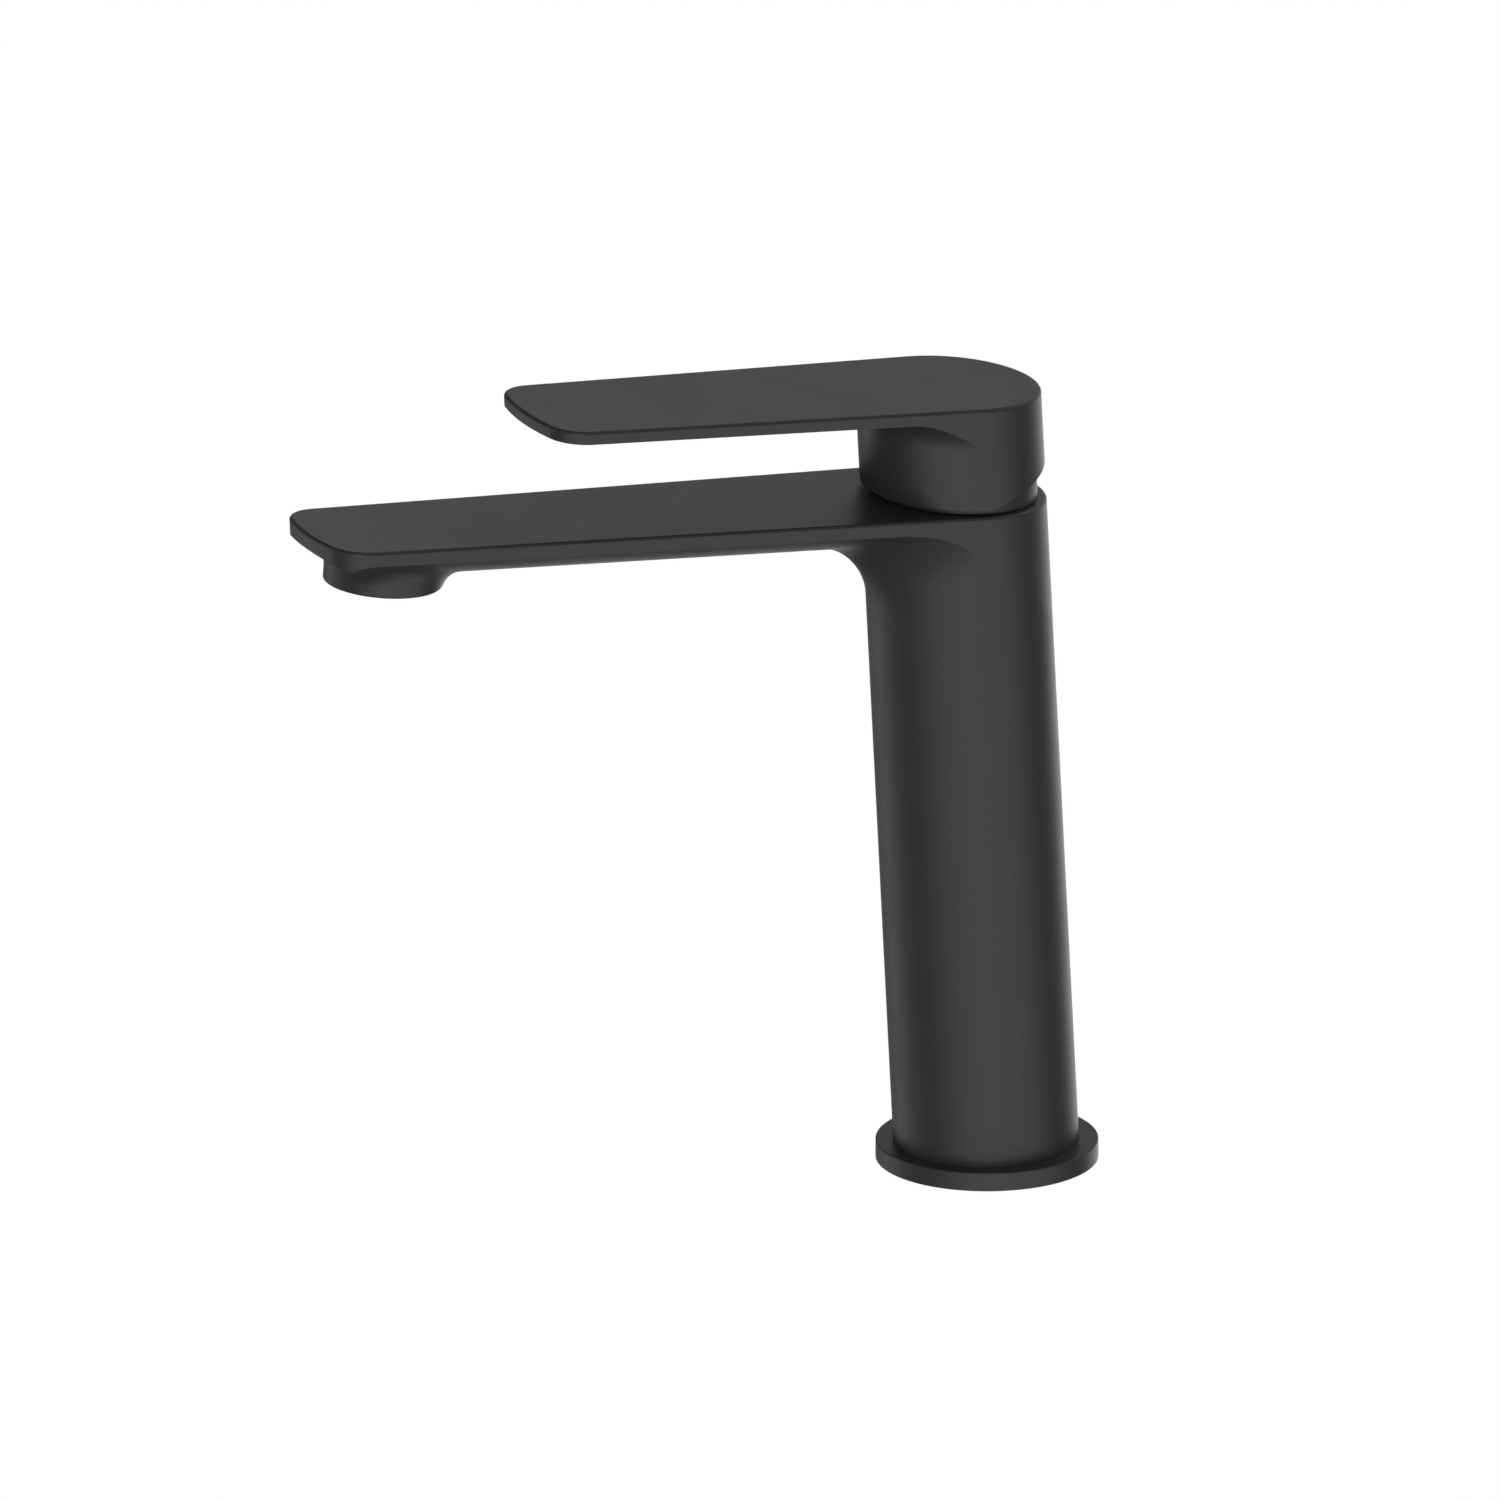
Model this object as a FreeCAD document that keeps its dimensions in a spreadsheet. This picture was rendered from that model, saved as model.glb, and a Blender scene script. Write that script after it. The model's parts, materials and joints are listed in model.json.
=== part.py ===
"""Single-lever basin mixer: a leaning column with a long flat spout and a flat tilting lever.

+Z is up, the spout points along -Y and the origin is the centre of the base on the deck.
The column leans by column_lean towards the spout. Its axis meets the sloping top face of the
body at the pivot, the point about which the lever turns and tilts. Pieces of the cartridge and
the lever are drawn in the pivot frame: X as it is, Y to the back along the top face, Z normal
to the top face. All lengths are millimetres and all angles are degrees.
"""
import FreeCAD, Part
import math
import os
import re
import Sketcher

SIZES = {
    # overall shape
    "column_radius": (22.5, "column and lever hub"),
    "column_length": (171.78, "deck to pivot, along the column axis"),
    "column_lean": (3.0, "column axis from vertical"),
    "top_rise": (4.65, "top faces of spout and lever from horizontal"),
    "edge_round": (0.8, "rounding of the top edges"),
    # spout
    "spout_length": (171.9, "pivot to spout tip"),
    "spout_taper": (1.346, "each side of the spout from its centre line"),
    "spout_corner": (8.65, "corner radius of the spout tip"),
    "spout_bow": (52.3, "radius of the spout's end"),
    "spout_side": (3.6, "height of the flat side of the spout"),
    "spout_root_depth": (11.3, "thickness of the spout at the column"),
    "spout_tip_depth": (10.6, "thickness of the spout at its tip"),
    "spout_blend": (21.5, "fillet under the spout where it meets the column"),
    "nose_slope": (18.0, "rise of the belly towards the spout's tip"),
    "nose_depth": (4.3, "thickness of the spout's very end"),
    "outlet_inset": (20.15, "spout tip to outlet axis"),
    "outlet_wall": (3.05, "outlet boss round the aerator's thread"),
    "outlet_depth": (13.6, "top face to the outlet's rim"),
    "outlet_blend": (5.0, "fillet round the outlet boss"),
    "rim_round": (0.5, "rounding of the outlet's rim"),
    # base
    "flange_reach": (4.5, "base ring beyond the column"),
    "flange_height": (4.63, "base ring"),
    "flange_round": (0.3, "top edge of the base ring"),
    "foot_step": (1.5, "column's foot inside its skin"),
    "gasket_land": (1.6, "base ring on each side of the deck gasket"),
    "gasket_height": (1.5, "deck gasket"),
    "inlet_spacing": (17.0, "between the two hose threads"),
    "inlet_radius": (4.5, "M10x1 hose thread"),
    "feed_radius": (3.5, "bore above each hose thread"),
    "thread_depth": (14.0, "hose and stud threads"),
    "stud_spacing": (24.0, "between the two fixing studs"),
    "stud_radius": (2.5, "M6 stud thread"),
    # waterways
    "column_wall": (4.2, "wall of the column"),
    "core_web": (3.0, "wall between the two channels"),
    "core_start": (18.0, "deck to the bottom of the channels"),
    "seat_floor": (6.5, "cartridge seat to the top of the channels"),
    "duct_width": (9.0, "waterway in the spout"),
    "washer_seat": (3.0, "ledge over the aerator's washer"),
    "duct_top": (3.4, "top face to the waterway"),
    "duct_sole": (3.0, "wall under the waterway"),
    "duct_reach": (36.0, "pivot to where the waterway straightens"),
    "knee_reach": (7.4, "cartridge bore to the waterway's bend"),
    "knee_top": (5.7, "top face to the waterway at its bend"),
    "knee_floor": (9.9, "top face to the waterway's floor at its bend"),
    "mouth_drop": (0.6, "cartridge flange to the waterway's mouth"),
    "mouth_height": (3.0, "waterway's mouth"),
    # cartridge seat
    "seat_step": (1.4, "step between the ring nut's thread and the cartridge bore"),
    "column_lip": (3.5, "wall of the column round the ring nut's thread"),
    "nut_seat": (7.5, "top face to the cartridge shoulder"),
    "thread_runout": (0.5, "thread below the shoulder"),
    "fit_gap": (0.1, "clearance of pieces that are put together"),
    "slide_gap": (0.03, "clearance of sliding faces"),
    "swing_gap": (0.5, "clearance of the hub round the dome"),
    # cartridge
    "water_gap": (1.2, "water gap round the cartridge shell"),
    "shell_foot": (10.6, "top face to the shell's flange"),
    "seal_section": (1.5, "cord of the shell's O-ring"),
    "groove_gap": (0.05, "clearance of an O-ring in its groove"),
    "shell_wall": (1.8, "cartridge shell round the discs"),
    "chamber_top": (10.8, "top face to the roof of the disc chamber"),
    "neck_step": (2.8, "shoulder of the cartridge shell under the ring nut"),
    "neck_top": (3.4, "neck above the top face"),
    "neck_wall": (1.7, "neck of the shell"),
    "turret_base": (7.4, "top face to the turret's bottom"),
    "stop_room": (1.6, "turret's neck inside the shell's lip"),
    "turret_top": (5.2, "turret above the top face"),
    "lip_reach": (1.2, "shell's lip over the turret"),
    "lip_height": (1.2, "thickness of the shell's lip"),
    "slip_height": (0.5, "glide ring"),
    "port_radius": (2.4, "water ports"),
    "port_spread": (5.6, "centre line to the hot and cold ports"),
    "port_front": (4.2, "axis to the hot and cold ports"),
    "port_back": (5.8, "axis to the mixed water port"),
    "ring_cord": (1.2, "thickness of the port seals"),
    "ring_width": (1.4, "width of the port seals"),
    "ring_inset": (0.5, "water port to its seal"),
    "web_height": (1.0, "wall between the mixed port and the seat"),
    "window_wall": (0.6, "side window to the groove above it"),
    "bowl_shift": (1.0, "mixing bowl behind the moving disc's axis"),
    "base_height": (4.5, "cartridge base"),
    "disc_height": (3.0, "each ceramic disc"),
    "disc_gap": (0.2, "clearance round the fixed disc"),
    "carrier_rim": (0.4, "disc carrier beyond the moving disc"),
    "carrier_room": (1.66, "shell to the disc carrier with the lever down"),
    "carrier_height": (4.4, "disc carrier"),
    "key_gap": (0.2, "disc carrier to the turret"),
    "disc_offset": (1.54, "moving disc behind the axis when the lever is down"),
    "key_spread": (8.0, "centre line to the turret's keys"),
    "key_width": (2.4, "turret's keys"),
    "key_height": (1.6, "turret's keys"),
    "key_length": (14.0, "turret's keys"),
    "pin_radius": (1.5, "pivot pin"),
    "pin_inset": (2.0, "each end of the pivot pin inside the turret"),
    "stem_half": (3.0, "half the stem's depth at the pin"),
    "stem_gap": (0.4, "clearance of the turret's window round the stem"),
    "window_front": (3.3, "window in front of the stem's arm"),
    "window_back": (2.6, "window behind the stem at the turret's top"),
    "neck_lap": (1.0, "ball's neck inside the arm"),
    "arm_gap": (0.6, "ball to the stem's arm"),
    "stem_chamfer": (0.6, "top edge of the stem"),
    "stem_width": (7.0, "stem across the pin"),
    "stem_square": (8.0, "square end of the stem"),
    "stem_shoulder": (7.6, "pivot to the square end"),
    "socket_air": (0.4, "roof of the socket over the stem"),
    "ball_sink": (1.4, "centre of the stem's ball inside its socket"),
    "ball_radius": (1.8, "stem's ball"),
    "ball_neck": (1.2, "neck above the ball"),
    "stop_gap": (0.2, "clearance of the stop ring round the turret"),
    "stop_play": (0.5, "play of the stops, in degrees"),
    "lug_lift": (0.1, "stop lug over the shell's neck"),
    "stop_angle": (45.0, "turn of the lever to each side"),
    "lug_angle": (60.0, "width of the turret's stop lug"),
    "nut_height": (4.6, "ring nut"),
    "notch_width": (4.0, "notches of the ring nut"),
    "notch_depth": (1.6, "notches of the ring nut"),
    "notch_reach": (2.4, "notches beyond the shell's neck"),
    # dome cap
    "dome_inset": (2.1, "domed cap inside the column's skin"),
    "dome_wall": (1.8, "domed cap"),
    "dome_lift": (0.25, "shadow gap under the dome"),
    "dome_mouth": (48.0, "half angle of the dome's opening"),
    "skirt_depth": (2.5, "skirt of the dome below the top face"),
    "skirt_wall": (2.1, "skirt of the dome inside the ring nut's thread"),
    "skirt_seal": (1.2, "cord of the skirt's O-ring"),
    "skirt_seal_level": (1.4, "top face to the skirt's O-ring"),
    # lever
    "lever_height": (27.5, "top face of the body to the lever's top"),
    "lever_thickness": (3.15, "lever blade"),
    "lever_length": (112.95, "pivot to lever tip"),
    "lever_taper": (1.5, "each side of the lever from its centre line"),
    "lever_corner": (8.6, "corner radius of the lever tip"),
    "lever_bow": (64.6, "radius of the lever's end"),
    "lever_blend": (7.6, "fillet between the blade and the hub"),
    "hub_gap": (1.7, "hub above the body's top face"),
    "hub_relief": (21.0, "rise of the hub's rear underside"),
    "boss_radius": (8.0, "socket boss in the hub"),
    "boss_level": (9.5, "pivot to the bottom of the boss"),
    "lever_roof": (3.5, "roof over the stem's socket"),
    "sleeve_wall": (0.6, "stem sleeve"),
    "sleeve_inset": (1.0, "bottom of the socket's boss to the stem sleeve"),
    "screw_drop": (2.3, "top of the stem to the set screw"),
    "screw_radius": (2.0, "M4 set screw"),
    "plug_air": (1.5, "set screw to its plug"),
    "hex_size": (2.0, "hexagon in the set screw, across flats"),
    "plug_radius": (3.0, "plug over the screw"),
    "plug_inset": (8.0, "hub's back to the inner end of the plug"),
    "plug_length": (4.2, "plug over the screw"),
    "plug_round": (0.4, "outer edge of the plug"),
    "plug_seat": (0.2, "clearance behind the plug"),
    "screw_gap": (0.02, "clearance of the set screw's thread"),
    "hex_depth": (2.2, "hexagon in the set screw"),
    # aerator, measured up from the outlet's rim
    "aerator_thread": (11.5, "M24x1 thread in the outlet"),
    "aerator_depth": (8.6, "depth of the outlet's thread"),
    "aerator_recess": (1.0, "aerator above the rim"),
    "aerator_wall": (1.6, "aerator shell"),
    "aerator_lip": (0.8, "lip of the aerator shell"),
    "mouth_chamfer": (0.4, "edge of the aerator's mouth"),
    "washer_height": (1.2, "aerator washer"),
    "washer_width": (2.6, "aerator washer"),
    "screen_height": (1.2, "perforated outlet"),
    "jet_radius": (0.85, "hole of the perforated outlet"),
    "jet_pitch": (2.5, "between rings of holes"),
    "slot_half": (0.9, "half width of the core's slots"),
    "slot_start": (3.0, "axis to the core's slots"),
    "slot_end": (8.0, "axis to the far end of the core's slots"),
}

# sizes that follow from the others: what lines up, seats or fits takes them from here
DERIVED = {
    "outlet_reach": "(spout_length - outlet_inset)",
    "outlet_radius": "(aerator_thread + outlet_wall)",
    "flange_radius": "(column_radius + flange_reach)",
    "spigot_radius": "(column_radius - foot_step)",
    "gasket_inner": "(spigot_radius + gasket_land)",
    "gasket_outer": "(flange_radius - gasket_land)",
    "core_radius": "(column_radius - column_wall)",
    "pool_radius": "(aerator_thread - washer_seat)",
    "thread_radius": "(column_radius - column_lip)",
    "bore_radius": "(thread_radius - seat_step)",
    "bore_depth": "(turret_base + key_gap + carrier_height + 2 * disc_height + base_height)",
    "core_end": "(bore_depth + seat_floor)",
    "duct_floor": "(spout_tip_depth - duct_sole)",
    "mouth_top": "(shell_foot + mouth_drop)",
    "mouth_floor": "(mouth_top + mouth_height)",
    "shell_radius": "(bore_radius - water_gap)",
    "seal_level": "((nut_seat + shell_foot) / 2)",
    "chamber_radius": "(shell_radius - shell_wall)",
    "neck_radius": "(bore_radius - neck_step)",
    "turret_radius": "(neck_radius - neck_wall - fit_gap)",
    "lip_radius": "(turret_radius - lip_reach)",
    "turret_neck": "(lip_radius - stop_room)",
    "fixed_disc_radius": "(chamber_radius - disc_gap)",
    "carrier_radius": "(chamber_radius - disc_offset - carrier_room)",
    "moving_disc_radius": "(carrier_radius - carrier_rim)",
    "pin_length": "(2 * (turret_radius - pin_inset))",
    "arm_length": "(turret_base + key_gap + ball_sink)",
    "dome_radius": "(column_radius - dome_inset)",
    "skirt_inner": "(thread_radius - skirt_wall)",
    "socket_top": "(lever_height - lever_roof)",
    "stem_top": "(socket_top - socket_air)",
    "sleeve_bottom": "(boss_level + sleeve_inset)",
    "screw_level": "(stem_top - screw_drop)",
    "plug_start": "(column_radius - plug_inset)",
    "screw_length": "(plug_start - stem_square / 2 - plug_air)",
}

doc = FreeCAD.newDocument("basin_mixer")
sheet = doc.addObject("Spreadsheet::Sheet", "sizes")
for row, (alias, (number, meaning)) in enumerate(SIZES.items(), start=1):
    sheet.set(f"A{row}", alias)
    sheet.set(f"B{row}", str(number))
    sheet.set(f"C{row}", meaning)
    sheet.setAlias(f"B{row}", alias)
doc.recompute()

ALIAS = re.compile(r"\b(" + "|".join(SIZES) + r")\b")
FOLLOWER = re.compile(r"\b(" + "|".join(DERIVED) + r")\b")
ROOMY = "60"            # reach of a cut that clears the whole column or hub
PASS = "10"             # how far a cut or pad runs on through a surface
BELLY_SPREAD = "60"     # degrees of the belly's arc on each side of its middle
TOL = 1e-4
NEAR = 0.02
parts = []


# ---- expressions, sketches and features ----

def formula(text):
    """A size expression spelled out, with every alias pointing at the sheet."""
    while FOLLOWER.search(text):
        text = FOLLOWER.sub(lambda found: DERIVED[found[1]], text)
    return ALIAS.sub(r"sizes.\1", text)


def value(text):
    return float(sheet.evalExpression(formula(text)))


def bind(target, prop, text):
    target.setExpression(prop, formula(text))


def new_body(name, place=None, turn=None):
    """An empty body, its origin at place (y, z) and turned about X."""
    body = doc.addObject("PartDesign::Body", name)
    body.Label = name
    if place:
        body.Placement = FreeCAD.Placement(FreeCAD.Vector(), FreeCAD.Rotation(FreeCAD.Vector(1, 0, 0), 1))
        bind(body, "Placement.Base.y", place[0])
        bind(body, "Placement.Base.z", place[1])
        bind(body, "Placement.Rotation.Angle", turn)
    parts.append(body)
    return body


PIVOT = ("-column_length * sin(column_lean)", "column_length * cos(column_lean)")
OUTLET = (f"{PIVOT[0]} - outlet_reach * cos(top_rise) - outlet_depth * sin(top_rise)",
          f"{PIVOT[1]} + outlet_reach * sin(top_rise) - outlet_depth * cos(top_rise)")


def pivot_body(name):
    return new_body(name, PIVOT, "-top_rise")


def new_sketch(body, name, role="XY_Plane", base=("0", "0", "0"), turn=None):
    """A sketch on one of the body's own planes, shifted by base and turned in that plane's frame.

    The turn is about the plane's X axis, or about its normal for YZ_Plane.
    """
    sketch = body.newObject("Sketcher::SketchObject", name)
    plane = [feature for feature in body.Origin.OriginFeatures if feature.Role == role][0]
    sketch.AttachmentSupport = [(plane, "")]
    sketch.MapMode = "FlatFace"
    axis = FreeCAD.Vector(0, 0, 1) if role == "YZ_Plane" else FreeCAD.Vector(1, 0, 0)
    if turn:
        sketch.AttachmentOffset = FreeCAD.Placement(FreeCAD.Vector(), FreeCAD.Rotation(axis, 1))
        bind(sketch, "AttachmentOffset.Rotation.Angle", turn)
    for letter, text in zip("xyz", base):
        if text != "0":
            bind(sketch, f"AttachmentOffset.Base.{letter}", text)
    return sketch


def fix(sketch, constraint, text):
    """Adds a driving constraint and binds it to the sheet."""
    bind(sketch, f"Constraints[{sketch.addConstraint(constraint)}]", text)


def fix_point(sketch, geometry, end, x, y):
    """Ties a point of the sketch to x and y, given as expressions."""
    for text, kind, axis in ((x, "DistanceX", -2), (y, "DistanceY", -1)):
        if text == "0":
            sketch.addConstraint(Sketcher.Constraint("PointOnObject", geometry, end, axis))
        else:
            fix(sketch, Sketcher.Constraint(kind, -1, 1, geometry, end, value(text)), text)


def circle(sketch, radius, x="0", y="0"):
    centre = FreeCAD.Vector(value(x), value(y), 0)
    index = sketch.addGeometry(Part.Circle(centre, FreeCAD.Vector(0, 0, 1), value(radius)), False)
    fix(sketch, Sketcher.Constraint("Radius", index, value(radius)), radius)
    fix_point(sketch, index, 3, x, y)
    return index


def polygon(sketch, points, arcs=()):
    """A closed outline through points; arcs maps a side's index to its radius about the origin."""
    spots = [FreeCAD.Vector(value(x), value(y), 0) for x, y in points]
    arcs = dict(arcs)
    first = sketch.GeometryCount
    starts = []
    for side, spot in enumerate(spots):
        follower = spots[(side + 1) % len(spots)]
        if side in arcs:
            angles = [math.atan2(point.y, point.x) for point in (spot, follower)]
            whole = Part.Circle(FreeCAD.Vector(), FreeCAD.Vector(0, 0, 1), value(arcs[side]))
            sketch.addGeometry(Part.ArcOfCircle(whole, min(angles), max(angles)), False)
            starts.append(1 if angles[0] < angles[1] else 2)
        else:
            sketch.addGeometry(Part.LineSegment(spot, follower), False)
            starts.append(1)
    for side in range(len(spots)):
        later = (side + 1) % len(spots)
        sketch.addConstraint(Sketcher.Constraint("Coincident", first + side, 3 - starts[side],
                                                 first + later, starts[later]))
        if side in arcs:
            sketch.addConstraint(Sketcher.Constraint("Coincident", first + side, 3, -1, 1))
            fix(sketch, Sketcher.Constraint("Radius", first + side, value(arcs[side])), arcs[side])
    for side, (x, y) in enumerate(points):
        touched = [arcs[near] for near in (side, (side - 1) % len(spots)) if near in arcs]
        if touched and x != "0":
            fix(sketch, Sketcher.Constraint("DistanceY", -1, 1, first + side, starts[side], spots[side].y), y)
        elif touched:
            sketch.addConstraint(Sketcher.Constraint("PointOnObject", first + side, starts[side], -2))
        else:
            fix_point(sketch, first + side, starts[side], x, y)


def box_outline(sketch, left, right, low, high):
    polygon(sketch, [(left, low), (right, low), (right, high), (left, high)])


def blade_outline(sketch, length, taper, corner, bow):
    """Plan of spout or lever: round at the pivot, tapering sides, rounded corners, bowed end."""
    root, far = value("column_radius"), value(length)
    slope, small, large = math.radians(value(taper)), value(corner), value(bow)
    normal = FreeCAD.Vector(math.cos(slope), -math.sin(slope), 0)
    along = FreeCAD.Vector(-math.sin(slope), -math.cos(slope), 0)
    bow_centre = FreeCAD.Vector(0, large - far, 0)
    start = (root - small) * normal
    reach = start - bow_centre
    half = reach.dot(along)
    run = -half + math.sqrt(half * half - reach.dot(reach) + (large - small) ** 2)
    corner_centre = start + run * along
    join = (corner_centre - bow_centre).normalize()
    bend, meet = math.atan2(normal.y, normal.x), math.atan2(join.y, join.x)

    def arc(centre, radius, begin, finish):
        whole = Part.Circle(centre, FreeCAD.Vector(0, 0, 1), radius)
        sketch.addGeometry(Part.ArcOfCircle(whole, begin, finish), False)
        return sketch.GeometryCount - 1

    def line(begin, finish):
        sketch.addGeometry(Part.LineSegment(begin, finish), False)
        return sketch.GeometryCount - 1

    def mirrored(point):
        return FreeCAD.Vector(-point.x, point.y, 0)

    near_side, far_side = root * normal, corner_centre + small * normal
    back = arc(FreeCAD.Vector(), root, bend, math.pi - bend)
    left = line(mirrored(near_side), mirrored(far_side))
    left_corner = arc(mirrored(corner_centre), small, math.pi - bend, math.pi - meet)
    end = arc(bow_centre, large, -math.pi - meet, meet)
    right_corner = arc(corner_centre, small, meet, bend)
    right = line(far_side, near_side)
    chain = [back, left, left_corner, end, right_corner, right]
    for index, item in enumerate(chain):
        sketch.addConstraint(Sketcher.Constraint("Tangent", item, 2, chain[(index + 1) % len(chain)], 1))
    sketch.addConstraint(Sketcher.Constraint("Coincident", back, 3, -1, 1))
    sketch.addConstraint(Sketcher.Constraint("PointOnObject", end, 3, -2))
    fix(sketch, Sketcher.Constraint("Radius", back, root), "column_radius")
    fix(sketch, Sketcher.Constraint("Radius", left_corner, small), corner)
    fix(sketch, Sketcher.Constraint("Radius", right_corner, small), corner)
    fix(sketch, Sketcher.Constraint("Radius", end, large), bow)
    fix(sketch, Sketcher.Constraint("DistanceY", -1, 1, end, 3, large - far), f"{bow} - {length}")
    fix(sketch, Sketcher.Constraint("Angle", left, slope - math.pi / 2), f"({taper}) * 1 deg - 90 deg")
    fix(sketch, Sketcher.Constraint("Angle", right, math.pi / 2 - slope), f"90 deg - ({taper}) * 1 deg")


def extrude(body, kind, sketch, length, flip=False, both=False):
    """A Pad or Pocket; flip turns its direction round and both centres it on the sketch."""
    feature = body.newObject(f"PartDesign::{kind}", f"{sketch.Name}_{kind.lower()}")
    feature.Profile = sketch
    feature.Reversed = flip
    if both:
        feature.SideType = "Symmetric"
    bind(feature, "Length", length)
    sketch.Visibility = False
    return feature


def pad(body, sketch, length, **options):
    return extrude(body, "Pad", sketch, length, **options)


def pocket(body, sketch, length, **options):
    """A Pocket that must take something away."""
    doc.recompute()
    before = body.Shape.Volume
    feature = extrude(body, "Pocket", sketch, length, **options)
    doc.recompute()
    if not body.Shape.Volume < before:
        raise ValueError(f"{feature.Name} removes nothing")
    return feature


def turned(body, kind, sketch, angle="360"):
    """A Revolution or Groove about the sketch's vertical axis."""
    feature = body.newObject(f"PartDesign::{kind}", f"{sketch.Name}_{kind.lower()}")
    feature.Profile = sketch
    feature.ReferenceAxis = (sketch, ["V_Axis"])
    bind(feature, "Angle", angle)
    return feature


def pattern(body, feature, count, sketch):
    """Repeats a feature round the normal of its sketch."""
    ring = body.newObject("PartDesign::PolarPattern", f"{feature.Name}_ring")
    ring.Originals = [feature]
    ring.Axis = (sketch, ["N_Axis"])
    ring.Angle = 360
    ring.Occurrences = count
    body.Tip = ring
    return ring


def edges_where(shape, test):
    """Names of the edges whose sampled points all pass the test."""
    names = []
    for index, edge in enumerate(shape.Edges, start=1):
        if not edge.Degenerated and all(test(point) for point in edge.discretize(7)):
            names.append(f"Edge{index}")
    return names


def dress(body, kind, prop, size, test):
    """A Fillet or Chamfer on the edges that pass the test."""
    doc.recompute()
    base = body.Tip
    names = edges_where(base.Shape, test)
    if not names:
        raise ValueError(f"{body.Label} has no edge to dress")
    feature = body.newObject(f"PartDesign::{kind}", f"{base.Name}_{kind.lower()}")
    feature.Base = (base, names)
    bind(feature, prop, size)
    doc.recompute()
    return feature


def fillet(body, radius, test):
    return dress(body, "Fillet", "Radius", radius, test)


def chamfer(body, size, test):
    return dress(body, "Chamfer", "Size", size, test)


def turned_piece(body, points, arcs=()):
    """A round piece drawn as radius and height, revolved about its own Z."""
    sketch = new_sketch(body, f"{body.Name}_profile", "YZ_Plane")
    polygon(sketch, points, arcs)
    return turned(body, "Revolution", sketch)


def o_ring(name, mean_radius, cord, level):
    """A round rubber ring in the pivot frame."""
    body = pivot_body(name)
    sketch = new_sketch(body, f"{name}_section", "YZ_Plane")
    circle(sketch, f"({cord}) / 2", mean_radius, level)
    turned(body, "Revolution", sketch)
    return body


def pivot_point():
    return FreeCAD.Vector(0, value(PIVOT[0]), value(PIVOT[1]))


def above_top(point):
    """Height of a point over the plane of the body's top face."""
    rise = math.radians(value("top_rise"))
    offset = point - pivot_point()
    return offset.y * math.sin(rise) + offset.z * math.cos(rise)


def from_column(point):
    """Distance of a point from the column axis."""
    lean = math.radians(value("column_lean"))
    across = point.y * math.cos(lean) + point.z * math.sin(lean)
    return math.hypot(point.x, across)


# ---- body: hollow casting of column and spout ----

def on_top(body, name, depth="0", forward="0"):
    """A sketch parallel to the top face, depth below it and forward of the pivot."""
    return new_sketch(body, name, "XY_Plane", base=(
        "0",
        f"{PIVOT[0]} - ({forward}) * cos(top_rise) - ({depth}) * sin(top_rise)",
        f"{PIVOT[1]} + ({forward}) * sin(top_rise) - ({depth}) * cos(top_rise)"), turn="-top_rise")


def across_spout(body, name, forward, half_width, depth):
    """Section of the spout's belly: an arc that runs on past both sides, closed above the top."""
    sketch = new_sketch(body, name, "XZ_Plane", base=(
        "0",
        f"{PIVOT[1]} + ({forward}) * sin(top_rise)",
        f"-({PIVOT[0]}) + ({forward}) * cos(top_rise)"), turn="-top_rise")
    sag = f"({depth} - spout_side)"
    radius = f"((({half_width})^2 + {sag}^2) / (2 * {sag}))"
    spread = math.radians(value(BELLY_SPREAD))
    centre = FreeCAD.Vector(0, value(f"{radius} - ({depth})"), 0)
    whole = Part.Circle(centre, FreeCAD.Vector(0, 0, 1), value(radius))
    arc = sketch.addGeometry(Part.ArcOfCircle(whole, -math.pi / 2 - spread, -math.pi / 2 + spread), False)
    ends = [sketch.Geometry[arc].StartPoint, sketch.Geometry[arc].EndPoint]
    lid = sketch.addGeometry(Part.LineSegment(ends[1], ends[0]), False)
    sketch.addConstraint(Sketcher.Constraint("Coincident", arc, 2, lid, 1))
    sketch.addConstraint(Sketcher.Constraint("Coincident", lid, 2, arc, 1))
    sketch.addConstraint(Sketcher.Constraint("Horizontal", lid))
    sketch.addConstraint(Sketcher.Constraint("PointOnObject", arc, 3, -2))
    fix(sketch, Sketcher.Constraint("Radius", arc, value(radius)), radius)
    fix(sketch, Sketcher.Constraint("DistanceY", -1, 1, arc, 3, centre.y), f"{radius} - ({depth})")
    fix(sketch, Sketcher.Constraint("DistanceX", -1, 1, arc, 2, ends[1].x), f"{radius} * sin({BELLY_SPREAD})")
    return sketch


def trim_to_plan(body, sketch, length, taper, corner, bow, depth):
    """Cuts away all that lies outside the plan of spout or lever, along the column axis."""
    box_outline(sketch, f"-{ROOMY}", ROOMY, f"-({length} + {ROOMY})", ROOMY)
    blade_outline(sketch, length, taper, corner, bow)
    pocket(body, sketch, depth)


def square_to_column(body, name, above):
    """A sketch square to the column axis, above the pivot."""
    height = f"(column_length + {above})"
    return new_sketch(body, name, "XY_Plane", base=(
        "0", f"-{height} * sin(column_lean)", f"{height} * cos(column_lean)"), turn="column_lean")


def half_width(forward):
    return f"(column_radius - ({forward}) * tan(spout_taper))"


def depth_at(forward):
    return f"(spout_root_depth - (spout_root_depth - spout_tip_depth) * ({forward}) / spout_length)"


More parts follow.
